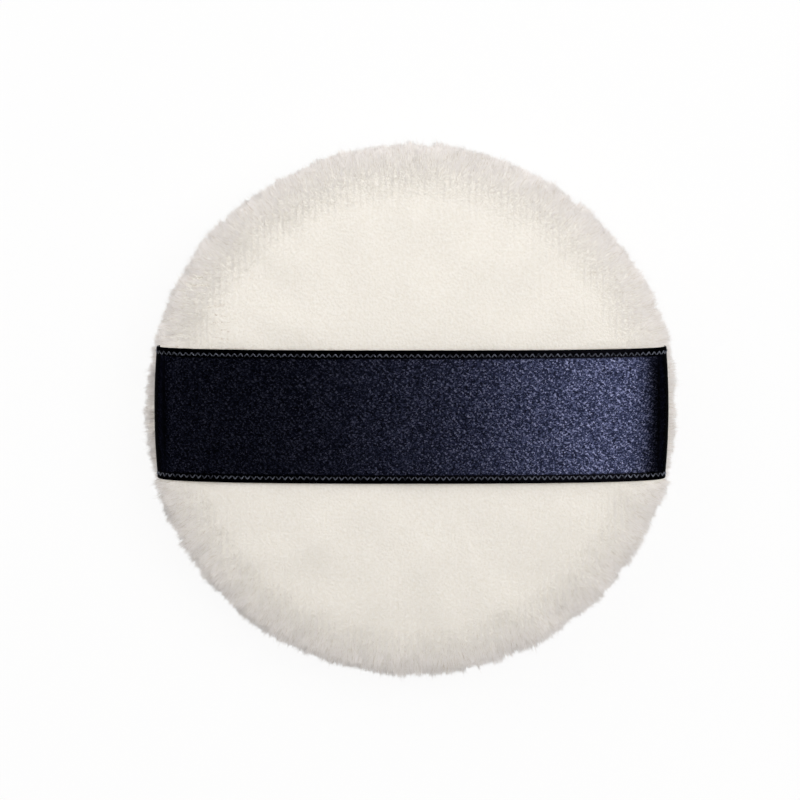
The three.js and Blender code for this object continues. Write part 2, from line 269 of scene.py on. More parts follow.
rng = np.random.default_rng(SEED)


def smoothstep(low, high, value):
    t = np.clip((value - low) / (high - low), 0, 1)
    return t * t * (3 - 2 * t)


def unit(vectors):
    return vectors / np.maximum(np.linalg.norm(vectors, axis=-1, keepdims=True), 1e-12)


def wobble(points, wavelength, seed, waves=14):
    """Smooth noise of about unit size over points, from seeded plane waves."""
    local = np.random.default_rng(seed)
    directions = unit(local.normal(size=(waves, 3)))
    numbers = 2 * math.pi / (wavelength * local.uniform(0.7, 1.5, waves))
    phases = local.uniform(0, 2 * math.pi, waves)
    return np.sin(points @ (directions * numbers[:, None]).T + phases).sum(-1) / math.sqrt(waves / 2)


# Meshes


def mesh_object(name, points, faces, material, sharp_angle=None):
    """A mesh from an (n, 3) array and a list of index arrays, each with faces of one size."""
    mesh = bpy.data.meshes.new(name)
    corners = np.concatenate([f.ravel() for f in faces]).astype(np.int32)
    sizes = np.concatenate([np.full(len(f), f.shape[1], np.int32) for f in faces])
    starts = np.concatenate([[0], np.cumsum(sizes)[:-1]]).astype(np.int32)
    mesh.vertices.add(len(points))
    mesh.vertices.foreach_set("co", np.asarray(points, np.float32).ravel())
    mesh.loops.add(len(corners))
    mesh.loops.foreach_set("vertex_index", corners)
    mesh.polygons.add(len(sizes))
    mesh.polygons.foreach_set("loop_start", starts)
    mesh.polygons.foreach_set("use_smooth", np.ones(len(sizes), bool))
    mesh.update(calc_edges=True)
    if sharp_angle:
        mesh.set_sharp_from_angle(angle=sharp_angle)
    mesh.materials.append(material)
    piece = bpy.data.objects.new(name, mesh)
    bpy.context.scene.collection.objects.link(piece)
    return piece


def grid_faces(rows, columns):
    """Quads of a grid of rows of vertices that joins its last column to its first."""
    i = np.arange(rows - 1)[:, None]
    j = np.arange(columns)[None, :]
    k = (j + 1) % columns
    quads = [i * columns + j, i * columns + k, (i + 1) * columns + k, (i + 1) * columns + j]
    return np.stack(np.broadcast_arrays(*quads), -1).reshape(-1, 4)


def tube_faces(rows, columns):
    """Faces of a closed tube of rings, with a cap on each end."""
    cap = np.arange(columns)
    return [grid_faces(rows, columns), cap[None, ::-1], (rows - 1) * columns + cap[None]]


def pole_to_pole(rings):
    """Points and outward faces of a closed form whose first ring and last ring are single points."""
    rows, columns = len(rings) - 2, rings.shape[1]
    points = np.concatenate([rings[:1, 0], rings[1:-1].reshape(-1, 3), rings[-1:, 0]])
    j = np.arange(columns)
    k = (j + 1) % columns
    first = np.stack([np.zeros(columns, int), 1 + j, 1 + k], 1)
    tail = 1 + (rows - 1) * columns
    last = np.stack([np.full(columns, len(points) - 1), tail + k, tail + j], 1)
    return points, [1 + grid_faces(rows, columns)[:, ::-1], first, last]


# Sections and surfaces of the pad


def crown_curve(radius, base, height, steps):
    """Section of the ribbon side, from the middle of its crown out to its fullest ring."""
    t = np.linspace(math.pi / 2, 0, steps)
    power = 2 / CROWN_FULLNESS
    return np.stack([radius * np.abs(np.cos(t)) ** power, base + height * np.sin(t) ** power], 1)


def lip_curve(rim_height, edge_height):
    """Section of the ground from its fullest ring in to the edge that the seam draws in."""
    t = np.linspace(0, math.pi / 2, LIP_ROWS + 1)[1:]
    radius = GROUND_RADIUS - SEAM_DRAW + SEAM_DRAW * np.cos(t)
    return np.stack([radius, rim_height + (edge_height - rim_height) * np.sin(t)], 1)


def shoulder_curve(outer, bottom, steps):
    """Section of the application side, from its flat out and up to its fullest ring."""
    t = np.linspace(0, math.pi / 2, steps)
    radius = REST_FACE_RADIUS + (outer - REST_FACE_RADIUS) * np.sin(t)
    return np.stack([radius, FACE_RIM_HEIGHT - (FACE_RIM_HEIGHT - bottom) * np.cos(t)], 1)


def level_line(start, end, height, rows):
    """Section at one height, from one radius to another."""
    return np.stack([np.linspace(start, end, rows), np.full(rows, height)], 1)


def revolved(section):
    """Rings of points for a section of (radius, height), as an array of rings, around, 3."""
    angle = np.arange(AROUND) * 2 * math.pi / AROUND
    ring = np.stack([np.cos(angle), np.sin(angle), np.zeros(AROUND)], 1)
    up = np.array([0, 0, 1.0])
    return section[:, 0, None, None] * ring[None] + section[:, 1, None, None] * up


def ground_surfaces():
    """Outer surfaces of the back and face panels' ground cloth, each from its middle to the seam."""
    crown = crown_curve(GROUND_RADIUS, BACK_RIM_HEIGHT, GROUND_TOP - BACK_RIM_HEIGHT, CROWN_ROWS)
    back_lip = lip_curve(BACK_RIM_HEIGHT, SEAM_HEIGHT + SEAM_HALF_GAP)
    flat = level_line(0, REST_FACE_RADIUS, PILE_AT_FACE, FLAT_ROWS)[:-1]
    shoulder = shoulder_curve(GROUND_RADIUS, PILE_AT_FACE, SHOULDER_ROWS)
    face_lip = lip_curve(FACE_RIM_HEIGHT, SEAM_HEIGHT - SEAM_HALF_GAP)
    back = revolved(np.concatenate([crown, back_lip]))
    face = revolved(np.concatenate([flat, shoulder, face_lip]))
    return back, face


def settled(back, face):
    """Both grounds after pressure has filled the cover over the sponge, which keeps their mean shape."""
    rings = np.concatenate([back, face[::-1]])
    normals = np.concatenate([surface_normals(back, 1), surface_normals(face, -1)[::-1]])
    seam_row = len(back)
    free = np.ones((len(rings), 1))
    free[seam_row - 1:seam_row + 1] = 0
    broad = BROAD_WAVE_HEIGHT * wobble(rings, BROAD_WAVE_LENGTH, SEED)
    fine = FINE_WAVE_HEIGHT * wobble(rings, FINE_WAVE_LENGTH, SEED + 1)
    uneven = free * (broad + fine)
    start = rings + (uneven - free * SWELL)[..., None] * normals
    outward = (filled_by_pressure(start[:, ::2], seam_row) * normals[:, ::2]).sum(-1)
    puckers = PUCKER_SHARE * (outward - outward.mean(1, keepdims=True))
    puckers = np.clip(puckers, -PUCKER_CAP, PUCKER_CAP)
    uneven[:, ::2] += puckers
    uneven[:, 1::2] += (puckers + np.roll(puckers, -1, axis=1)) / 2
    rings = rings + uneven[..., None] * normals
    back, face = rings[:seam_row], rings[seam_row:][::-1]
    face[..., 2] = np.maximum(face[..., 2], PILE_AT_FACE)
    return pressed_by_ribbon(back), face


def filled_by_pressure(rings, seam_row):
    """Cloth simulation of the closed cover, held at its seam: how far each point moves from its start."""
    scene = bpy.context.scene
    points, faces = pole_to_pole(rings * CLOTH_SCALE)
    cover = mesh_object("cover", points, faces, bpy.data.materials.new("cover"))
    columns = rings.shape[1]
    seam = 1 + np.arange((seam_row - 2) * columns, seam_row * columns)
    cover.vertex_groups.new(name="seam").add([int(i) for i in seam], 1, "REPLACE")
    cloth = cover.modifiers.new("cloth", "CLOTH")
    cloth.point_cache.frame_end = CLOTH_FRAMES
    cloth.settings.quality = 6
    cloth.settings.vertex_group_mass = "seam"
    cloth.settings.effector_weights.gravity = 0
    cloth.settings.use_pressure = True
    cloth.settings.uniform_pressure_force = 4
    cloth.settings.shrink_min = -0.04
    cloth.settings.bending_stiffness = 6
    for number in range(1, CLOTH_FRAMES + 1):
        scene.frame_set(number)
    cover_now = cover.evaluated_get(bpy.context.evaluated_depsgraph_get()).data
    places = np.empty(3 * len(points), np.float32)
    cover_now.vertices.foreach_get("co", places)
    scene.frame_set(1)
    bpy.data.objects.remove(cover)
    moved = (places.reshape(-1, 3) - points) / CLOTH_SCALE
    poles = [np.repeat(moved[i][None, None], columns, axis=1) for i in (0, -1)]
    return np.concatenate([poles[0], moved[1:-1].reshape(-1, columns, 3), poles[1]])


def pressed_by_ribbon(rings):
    """The back's surface, pushed down to stay under the ribbon over the ribbon's width."""
    x, y, z = np.moveaxis(rings, -1, 0)
    reach, rise = RIBBON_REACH - RIBBON_PRESS, RIBBON_RISE - RIBBON_PRESS
    inner_x = np.clip(x, -reach, reach)
    share = np.abs(inner_x) / reach
    lid = RIBBON_BASE + rise * (1 - share**CROWN_FULLNESS) ** (1 / CROWN_FULLNESS)
    under = np.stack([inner_x, y, np.where(z > RIBBON_BASE, np.minimum(z, lid), z)], -1)
    free_from, full_from = RIBBON_HALF_WIDTH + 0.9 * MM, RIBBON_HALF_WIDTH + 0.1 * MM
    weight = smoothstep(free_from, full_from, np.abs(y))[..., None]
    return rings + weight * (under - rings)


def surface_normals(rings, side):
    """Outward normals of a surface of rings. side is 1 for the back, -1 for the face."""
    along = np.gradient(rings, axis=0)
    around = np.roll(rings, -1, axis=1) - np.roll(rings, 1, axis=1)
    normals = unit(side * np.cross(along, around))
    normals[0] = (0, 0, side)
    return normals


def panel_shell(name, outer, side, material):
    """Closed shell of one panel: its outer surface, its turned-in edge and the inside of its cavity."""
    edge = SEAM_HEIGHT + side * SEAM_HALF_GAP
    wall = CAVITY_RADIUS - CAVITY_INSET
    turned = np.array([[CAVITY_RADIUS - ALLOWANCE, edge],
                       [CAVITY_RADIUS - ALLOWANCE, edge + side * ALLOWANCE_THICKNESS],
                       [wall, edge + side * ALLOWANCE_THICKNESS]])
    if side > 0:
        height = PAD_TOP - PANEL_THICKNESS - BACK_RIM_HEIGHT
        inner = crown_curve(wall, BACK_RIM_HEIGHT, height, CAVITY_CROWN_ROWS)[::-1]
    else:
        inner = shoulder_curve(wall, PANEL_THICKNESS, CAVITY_SHOULDER_ROWS)[::-1]
        inner = np.concatenate([inner, [[0, PANEL_THICKNESS]]])
    points, faces = pole_to_pole(np.concatenate([outer, revolved(np.concatenate([turned, inner]))]))
    if side < 0:
        faces = [f[:, ::-1] for f in faces]
    return mesh_object(name, points, faces, material)


def foam_disc(material):
    """Sponge that fills the cavity, grooved round its rim for the turned-in edges, with open cells."""
    crown_rows, wall_rows, groove_rows, flat_rows = 70, 12, 8, 40
    radius = CAVITY_RADIUS - CAVITY_INSET - FOAM_CLEARANCE
    top = PAD_TOP - PANEL_THICKNESS - FOAM_CLEARANCE
    bottom = PANEL_THICKNESS + FOAM_CLEARANCE
    inner = CAVITY_RADIUS - ALLOWANCE - FOAM_GROOVE_CLEARANCE
    half = SEAM_HALF_GAP + ALLOWANCE_THICKNESS + FOAM_GROOVE_CLEARANCE
    groove_top, groove_bottom = SEAM_HEIGHT + half, SEAM_HEIGHT - half
    crown = crown_curve(radius, BACK_RIM_HEIGHT, top - BACK_RIM_HEIGHT, crown_rows)
    upper_wall = level_line(radius, inner, groove_top, wall_rows)[1:]
    groove = np.linspace(groove_top, groove_bottom, groove_rows)[1:-1]
    back_wall = np.stack([np.full(len(groove), inner), groove], 1)
    lower_wall = level_line(inner, radius, groove_bottom, wall_rows)[:-1]
    shoulder = shoulder_curve(radius, bottom, SHOULDER_ROWS)[::-1]
    flat = level_line(REST_FACE_RADIUS, 0, bottom, flat_rows)[1:]
    rings = revolved(np.concatenate([crown, upper_wall, back_wall, lower_wall, shoulder, flat]))
    cells = np.maximum(wobble(rings, FOAM_CELL, SEED + 2, FOAM_CELL_WAVES), 0)
    cells = cells + 0.5 * np.maximum(wobble(rings, FOAM_HOLLOW, SEED + 3), 0)
    rings = rings - (FOAM_CELL_DEPTH * cells)[..., None] * surface_normals(rings, 1)
    rings[[0, -1]] = rings[[0, -1]].mean(1, keepdims=True)
    points, faces = pole_to_pole(rings)
    return mesh_object("sponge_disc", points, faces, material)


# Pile


def density(radius, middle, added, between):
    """Strands for each square metre at a radius."""
    return (middle + added * smoothstep(*between, radius)) / MM**2


def scatter(rings, normals, amounts):
    """Random places on a surface, with the normals there, as many as density gives for the amounts."""
    radius = np.hypot(rings[..., 0], rings[..., 1]).mean(1)
    steps = np.linalg.norm(np.diff(rings, axis=0), axis=-1).mean(1)
    middle = (radius[:-1] + radius[1:]) / 2
    wanted = 2 * math.pi * middle * steps * density(middle, **amounts)
    counts = rng.poisson(wanted)
    row = np.repeat(np.arange(len(steps)), counts)
    inner, outer = radius[row], radius[row + 1]
    share = rng.random(len(row))
    even = np.sqrt(inner**2 + share * (outer**2 - inner**2))
    spread = np.abs(outer - inner) > 1e-7
    share = np.where(spread, (even - inner) / np.where(spread, outer - inner, 1), share)
    turn = rng.random(len(row)) * AROUND
    column = turn.astype(int) % AROUND
    after, part = (column + 1) % AROUND, (turn - turn.astype(int))[:, None]
    share = share[:, None]

    def between(grid):
        near = grid[row, column] * (1 - part) + grid[row, after] * part
        far = grid[row + 1, column] * (1 - part) + grid[row + 1, after] * part
        return near * (1 - share) + far * share

    return between(rings), unit(between(normals))


def strands(name, roots, controls, tips, radii, tints, shading, bends, material):
    """Closed three-sided tapering strands, each on its own curve from root to tip, with bends rings."""
    count = len(roots)
    along = np.linspace(0, 1, bends + 1)[:-1]
    axis = unit(tips - roots)
    helper = unit(rng.normal(size=(count, 3)))
    across = unit(np.cross(axis, helper))
    other = np.cross(axis, across)
    size = 3 * bends + 1
    points = np.empty((count, size, 3))
    u = np.empty((count, size))
    v = np.empty((count, size))
    for j, f in enumerate(along):
        centre = (1 - f) ** 2 * roots + 2 * f * (1 - f) * controls + f * f * tips
        thick = (radii * (1 - STRAND_TAPER * f**STRAND_TAPER_POWER))[:, None]
        for k in range(3):
            turn = 2 * math.pi * k / 3
            points[:, 3 * j + k] = centre + thick * (math.cos(turn) * across + math.sin(turn) * other)
            u[:, 3 * j + k] = tints + (k - 1) * MAP_APART
            v[:, 3 * j + k] = MAP_ROOT + MAP_RUN * f + MAP_APART * k
    points[:, -1] = tips
    u[:, -1] = tints
    v[:, -1] = MAP_TIP
    faces = (np.arange(count)[:, None, None] * size + strand_pattern(bends)[None]).reshape(-1, 3)
    piece = mesh_object(name, points.reshape(-1, 3), [faces], material)
    normals = np.repeat(shading, size, axis=0).astype(np.float32)
    piece.data.normals_split_custom_set_from_vertices(normals)
    places = np.stack([u.ravel()[faces], v.ravel()[faces]], -1).astype(np.float32)
    piece.data.uv_layers.new(name="OFBake").data.foreach_set("uv", places.ravel())
    return piece


def strand_pattern(bends):
    """Triangles of one strand: its root, the walls between its rings, and its tip."""
    pattern = [(0, 2, 1)]
    for j in range(bends - 1):
        for k in range(3):
            a, b = 3 * j + k, 3 * j + (k + 1) % 3
            pattern += [(a, b, b + 3), (a, b + 3, a + 3)]
    end = 3 * (bends - 1)
    pattern += [(end + k, end + (k + 1) % 3, 3 * bends) for k in range(3)]
    return np.array(pattern)


def nearest(points, centres):
    """For each point, the index of the centre nearest to it."""
    tree = KDTree(len(centres))
    for i, c in enumerate(centres):
        tree.insert(c, i)
    tree.balance()
    return np.array([tree.find(p)[1] for p in points])


def gathered(roots, share):
    """For each strand, the strand that leads its group. share of the strands lead one."""
    leaders = np.flatnonzero(rng.random(len(roots)) < share)
    return leaders[nearest(roots, roots[leaders])]


def graded(amounts, edge, other):
    """An amount for each strand: what holds anywhere, what the rim adds, and what the other place adds."""
    anywhere, at_rim, there = amounts
    return anywhere + at_rim * edge + there * other


def comb(roots, normals, rim, lift, flank):
    """Curves of one panel's pile: where each strand leans and ends, its thickness, tint and shading."""
    count = len(roots)
    radius = np.hypot(roots[:, 0], roots[:, 1])
    level = np.stack([roots[:, 0], roots[:, 1], np.zeros(count)], 1)
    outward = level / np.maximum(radius, 1e-9)[:, None]
    edge = smoothstep(*rim, radius)
    side = smoothstep(*flank, np.abs(normals[:, 2]))
    lean = (RIM_LEAN * edge)[:, None]
    aim = unit((1 - lean) * (normals + (1 - edge)[:, None] * NAP) + lean * (outward + RIM_FALL))
    tuft = gathered(roots, TUFT_SHARE)
    lock = gathered(roots, LOCK_SHARE)
    tuft_turn = graded(TUFT_TURN, edge, side)[:, None] * rng.normal(size=(count, 3))[tuft]
    lock_turn = graded(LOCK_TURN, edge, side)[:, None] * rng.normal(size=(count, 3))[lock]
    stray = rng.random(count) < STRAY_SHARE
    own_turn = graded(STRAND_TURN, edge, stray)[:, None] * rng.normal(size=(count, 3))
    aim = unit(aim + tuft_turn + lock_turn + own_turn)
    uneven = graded(TUFT_UNEVEN, edge, side) * rng.normal(size=count)[tuft]
    uneven += graded(LOCK_UNEVEN, edge, side) * rng.normal(size=count)[lock]
    growth = np.clip(1 + uneven + STRAND_UNEVEN * rng.normal(size=count), *STRAND_GROWTH)
    length = CROWN_PILE_LENGTH + (RIM_PILE_LENGTH - CROWN_PILE_LENGTH) * edge
    length = length * growth * (1 + STRAY_GROWTH * stray)
    tips = roots + aim * length[:, None]
    tips = tips + graded(TUFT_PULL, edge, side)[:, None] * (tips[tuft] - tips)
    controls = roots + unit(normals + aim) * (0.5 * length)[:, None]
    radii = STRAND_RADIUS * rng.uniform(*STRAND_RADIUS_SPREAD, count)
    tints = strand_tints(roots, edge, tuft)
    lifted = SHADING_LIFT * smoothstep(*lift, normals[:, 2])
    ripple = LOCK_RIPPLE * rng.normal(size=(count, 3))[lock] + TUFT_RIPPLE * rng.normal(size=(count, 3))[tuft]
    shading = normals + lifted[:, None] * np.array([0, 0, 1])
    shading = shading + graded(RIPPLE_SHARE, edge, side)[:, None] * ripple
    shading = unit(shading + STRAND_RIPPLE * rng.normal(size=(count, 3)))
    return controls, tips, radii, tints, shading, edge


def strand_tints(roots, edge, tuft):
    """Tint of each strand: wales on the crown, whiter at the rim, where single strands get a dark tint as
    painted shade.
    """
    count = len(roots)
    wale = WALE_TINT * (1 - edge) * np.cos(2 * math.pi * roots[:, 0] / WALE_PITCH)
    tints = CROWN_TINT + wale + RIM_ADDED_TINT * edge
    tints = tints + TUFT_TINT * rng.normal(size=count)[tuft] + STRAND_TINT * rng.normal(size=count)
    # Painted shade: single strands at the rim take a dark tint that stands for the shade between tufts
    shaded = rng.random(count) < PAINTED_SHADE_SHARE * edge
    return np.where(shaded, PAINTED_SHADE_TINT, np.clip(tints, *TINT_LIMITS))


def creased(roots, normals, controls, tips, tints, shading):
    """Lays the pile down along the creases, where its shading tilts to show shaded sides and its tint is
    darkened as painted shade.
    """
    for x0, y0, x1, y1 in CREASES:
        start, run = np.array([x0, y0]), np.array([x1 - x0, y1 - y0])
        along = np.clip((roots[:, :2] - start) @ run / (run @ run), 0, 1)
        away = roots[:, :2] - start - along[:, None] * run
        distance = np.linalg.norm(away, axis=1)
        depth = np.exp(-0.5 * (distance / CREASE_WIDTH) ** 4)
        level = np.array([*run, 0]) - (normals @ np.array([*run, 0]))[:, None] * normals
        laid = roots + CREASE_LAY * unit(level) + CREASE_HEIGHT * normals
        controls = controls + depth[:, None] * ((roots + laid) / 2 + CREASE_ARCH * normals - controls)
        tips = tips + depth[:, None] * (laid - tips)
        # Painted shade: the tint darkens towards the middle of each crease
        tints = np.maximum(tints * (1 - depth), CREASE_PAINTED_SHADE_TINT)
        tilt = CREASE_SHADING * (depth / CREASE_WIDTH)[:, None]
        shading = shading - tilt * np.pad(away, ((0, 0), (0, 1)))
    return controls, tips, tints, unit(shading)


def pile_pieces(prefix, pile, bends, node, material):
    """The strands in as many pieces as keep each mesh small, cut by angle round the pad."""
    roots = pile[0]
    triangles = 6 * (bends - 1) + 4
    order = np.argsort(np.arctan2(roots[:, 1], roots[:, 0]), kind="stable")
    made = []
    for n, part in enumerate(np.array_split(order, math.ceil(len(order) * triangles / MOST_TRIANGLES))):
        piece = strands(f"{prefix}_{n + 1}", *(column[part] for column in pile), bends, material)
        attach(piece, "pad")
        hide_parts(node)
        made.append(piece)
    return made


def dress(short_name, long_name, pile, edge, node, material):
    """Short pile on a panel's middle, longer pile at its rim. Most strands let light through to the rest."""
    longer = edge > LONG_PILE_FROM
    opaque = longer & (rng.random(len(edge)) < SHADOWING_SHARE)
    short_pile = [column[~longer] for column in pile]
    opaque_pile = [column[opaque] for column in pile]
    sheer_pile = [column[longer & ~opaque] for column in pile]
    sheer = pile_pieces(short_name, short_pile, 1, node, material)
    pile_pieces(long_name, opaque_pile, 2, node, material)
    sheer += pile_pieces(f"{long_name}_sheer", sheer_pile, 2, node, material)
    for piece in sheer:
        piece.visible_shadow = False
        piece.visible_diffuse = False


def back_pile(rings, material):
    """Pile of the back: pressed flat under the ribbon, combed on both sides of it, clear of its edges."""
    normals = surface_normals(rings, 1)
    roots, normal = scatter(rings, normals, BACK_DENSITY)
    covered = np.abs(roots[:, 1]) < RIBBON_HALF_WIDTH + COVERED_MARGIN
    pressed_pile(roots[covered], normal[covered], material)
    roots, normal = roots[~covered], normal[~covered]
    roots = roots - ROOT_DEPTH * normal
    inside = 1 - smoothstep(*BACK_PILE["rim"], np.hypot(roots[:, 0], roots[:, 1]))
    roots[:, 0] -= WALE_GATHER * WALE_PITCH * inside * np.sin(2 * math.pi * roots[:, 0] / WALE_PITCH)
    controls, tips, radii, tints, shading, edge = comb(roots, normal, **BACK_PILE)
    controls, tips, tints, shading = creased(roots, normal, controls, tips, tints, shading)
    clear = (RIBBON_HALF_WIDTH + RIBBON_SIDE_CLEARANCE) * np.sign(roots[:, 1])
    over = np.abs(tips[:, 1]) < np.abs(clear)
    tips[over, 1] = clear[over]
    pile = [roots, controls, tips, radii, tints, shading]
    dress("crown_pile", "back_rim_pile", pile, edge, "back_panel", material)


def pressed_pile(roots, normal, material):
    """Short flattened pile under the ribbon, which leaves it less room towards its ends."""
    keep = (np.abs(roots[:, 0]) < PRESSED_REACH) & (rng.random(len(roots)) < PRESSED_SHARE)
    roots, normal = roots[keep], normal[keep]
    count = len(roots)
    room = 1 - (roots[:, 0] / PRESSED_ROOM_REACH) ** 2
    height = PRESSED_HEIGHT + PRESSED_ADDED_HEIGHT * room
    lie = unit(np.stack([rng.normal(size=count), 0.5 * rng.normal(size=count), np.zeros(count)], 1))
    tips = roots + lie * PRESSED_LENGTH + normal * height[:, None]
    half = RIBBON_HALF_WIDTH + PRESSED_SIDE_MARGIN
    tips[:, 1] = np.clip(tips[:, 1], -half, half)
    controls = (roots + tips) / 2 + PRESSED_ARCH * normal
    tints = PRESSED_TINT + PRESSED_TINT_SPREAD * rng.normal(size=count)
    tints = np.clip(tints, *PRESSED_TINT_LIMITS)
    radii = np.full(count, PRESSED_RADIUS)
    roots = roots - PRESSED_ROOT_DEPTH * normal
    pile_pieces("pressed_pile", [roots, controls, tips, radii, tints, normal], 1, "back_panel", material)


def face_pile(rings, material):
    """Pile of the application side, flattened where the puff rests."""
    normals = surface_normals(rings, -1)
    roots, normal = scatter(rings, normals, FACE_DENSITY)
    roots = roots - ROOT_DEPTH * normal
    controls, tips, radii, tints, shading, edge = comb(roots, normal, **FACE_PILE)
    tips[:, 2] = np.maximum(tips[:, 2], REST_FLOOR + REST_TIP_SPREAD * rng.random(len(tips)))
    controls[:, 2] = np.maximum(controls[:, 2], REST_FLOOR + REST_ARCH)
    roots[:, 2] = np.maximum(roots[:, 2], REST_FLOOR)
    pile = [roots, controls, tips, radii, tints, shading]
    dress("application_pile", "face_rim_pile", pile, edge, "face_panel", material)


# Ribbon


def ribbon_half_line(step):
    """Middle line of half the ribbon, from the crown at x 0 over the rim and into the seam, in even steps."""
    crown = crown_curve(RIBBON_REACH, RIBBON_BASE, RIBBON_RISE, RIBBON_CROWN_POINTS)
    crown[0, 0] = 0
    turn = np.linspace(0, -math.pi / 2, RIBBON_BEND_POINTS)[1:]
    bend_x = RIBBON_REACH - RIBBON_BEND + RIBBON_BEND * np.cos(turn)
    bend = np.stack([bend_x, RIBBON_BASE + RIBBON_BEND * np.sin(turn)], 1)
    line = np.concatenate([crown, bend, [[TAIL_END, SEAM_HEIGHT]]])
    along = np.concatenate([[0], np.cumsum(np.linalg.norm(np.diff(line, axis=0), axis=1))])
    at = np.linspace(0, along[-1], math.ceil(along[-1] / step) + 1)
    points = np.stack([np.interp(at, along, line[:, k]) for k in range(2)], 1)
    tangent = unit(np.gradient(points, axis=0))
    tangent[0] = (1, 0)
    normal = np.stack([-tangent[:, 1], tangent[:, 0]], 1)
    return points, normal, along[-1]


def ribbon_places(points, normal, across, height):
    """Points on the ribbon at (x, z) stations, at places across it and heights above its middle line."""
    share = np.abs(points[:, 0, None]) / RIBBON_REACH
    pull = RIBBON_CORNER_PULL * (across / RIBBON_HALF_WIDTH) ** 2 * share**2
    x = points[:, 0, None] + normal[:, 0, None] * height - pull
    z = points[:, 1, None] + normal[:, 1, None] * height
    return np.stack([x, np.broadcast_to(across, x.shape), z], -1)


def ribbon_section():
    """Closed outline of the ribbon's section as (across, height), with fuller rounded borders."""
    border, round_edge, flat_margin, step_margin = 0.6 * MM, 0.2 * MM, 1.6 * MM, 1.5 * MM
    inside = np.linspace(0, RIBBON_HALF_WIDTH - flat_margin, 10)
    step = np.linspace(RIBBON_HALF_WIDTH - step_margin, RIBBON_HALF_WIDTH - round_edge, 12)
    turn = np.linspace(0, math.pi / 2, 6)[1:]
    curl = RIBBON_HALF_WIDTH - round_edge + round_edge * np.sin(turn)
    half = np.concatenate([inside, step, curl])
    from_edge = RIBBON_HALF_WIDTH - half
    body, fuller = 0.15, 0.05
    height = (body + fuller * smoothstep(border + 0.25 * MM, border - 0.1 * MM, from_edge)) * MM
    height[-len(turn):] *= np.cos(turn)
    upper = np.concatenate([np.stack([-half[::-1], height[::-1]], 1)[:-1], np.stack([half, height], 1)])
    lower = upper[1:-1][::-1] * (1, -1)
    return np.concatenate([upper, lower])


def ribbon_half(name, side, material):
    """Half of the ribbon, and its length along its middle line. side is 1 at +X, -1 at -X."""
    points, normal, length = ribbon_half_line(RIBBON_STEP)
    section = ribbon_section()
    body = ribbon_places(points, normal, section[None, :, 0], section[None, :, 1])
    body[..., 0] *= side
    faces = tube_faces(*body.shape[:2])
    if side > 0:
        faces = [f[:, ::-1] for f in faces]
    piece = mesh_object(name, body.reshape(-1, 3), faces, material, math.radians(50))
    return piece, length


def zigzag_half(name, edge, side, material):
    """Zigzag binding thread on half of one long edge. edge is 1 at +Y, -1 at -Y."""
    points, normal, length = ribbon_half_line(STITCH_PITCH / STITCH_POINTS)
    at = np.arange(len(points)) * (length / (len(points) - 1))
    shown = points[:, 1] > SEAM_HEIGHT + STITCH_ABOVE_SEAM
    points, normal, at = points[shown], normal[shown], at[shown]
    wave = STITCH_SHARPNESS * np.cos(2 * math.pi * at / STITCH_PITCH)
    swing = np.arcsin(wave) / math.asin(STITCH_SHARPNESS)
    y = edge * (RIBBON_HALF_WIDTH - STITCH_INSET + swing * STITCH_WIDTH / 2)
    lift = STITCH_LIFT + STITCH_EDGE_LIFT * swing
    centre = ribbon_places(points, normal, y[:, None], lift[:, None])[:, 0]
    centre[:, 0] *= side
    along = unit(np.gradient(centre, axis=0))
    up = unit(np.stack([side * normal[:, 0], np.zeros(len(at)), normal[:, 1]], 1))
    across = unit(np.cross(along, up))
    up = np.cross(across, along)
    turn = np.arange(STITCH_SIDES) * 2 * math.pi / STITCH_SIDES
    wide = STITCH_HALF_WIDTH * np.cos(turn)[None, :, None] * across[:, None]
    high = STITCH_HALF_HEIGHT * np.sin(turn)[None, :, None] * up[:, None]
    rings = centre[:, None] + wide + high
    return mesh_object(name, rings.reshape(-1, 3), tube_faces(len(centre), STITCH_SIDES), material)


# Materials


def node_material(name):
    material = bpy.data.materials.new(name)
    material.use_nodes = True
    nodes = material.node_tree.nodes
    return material, nodes, material.node_tree.links, nodes["Principled BSDF"]


def colour_ramp(nodes, stops):
    ramp = nodes.new("ShaderNodeValToRGB")
    elements = ramp.color_ramp.elements
    while len(elements) < len(stops):
        elements.new(0.5)
    for element, (position, colour) in zip(elements, stops):
        element.position = position
        element.color = (*colour, 1)
    return ramp


def math_node(nodes, links, operation, *values):
    """Output of a Math node on values that are sockets or numbers."""
    node = nodes.new("ShaderNodeMath")
    node.operation = operation
    for socket, value in zip(node.inputs, values):
        if isinstance(value, float):
            socket.default_value = value
        else:
            links.new(value, socket)
    return node.outputs[0]


def range_node(nodes, links, value, limits):
    """Output of a Map Range node on a socket. limits gives the inputs that differ from 0 to 1."""
    node = nodes.new("ShaderNodeMapRange")
    for socket, number in limits.items():
        node.inputs[socket].default_value = number
    links.new(value, node.inputs["Value"])
    return node.outputs["Result"]


def add_bump(nodes, links, shader, height, strength, distance):
    bump = nodes.new("ShaderNodeBump")
    bump.inputs["Strength"].default_value = strength
    bump.inputs["Distance"].default_value = distance
    links.new(height, bump.inputs["Height"])
    links.new(bump.outputs["Normal"], shader.inputs["Normal"])


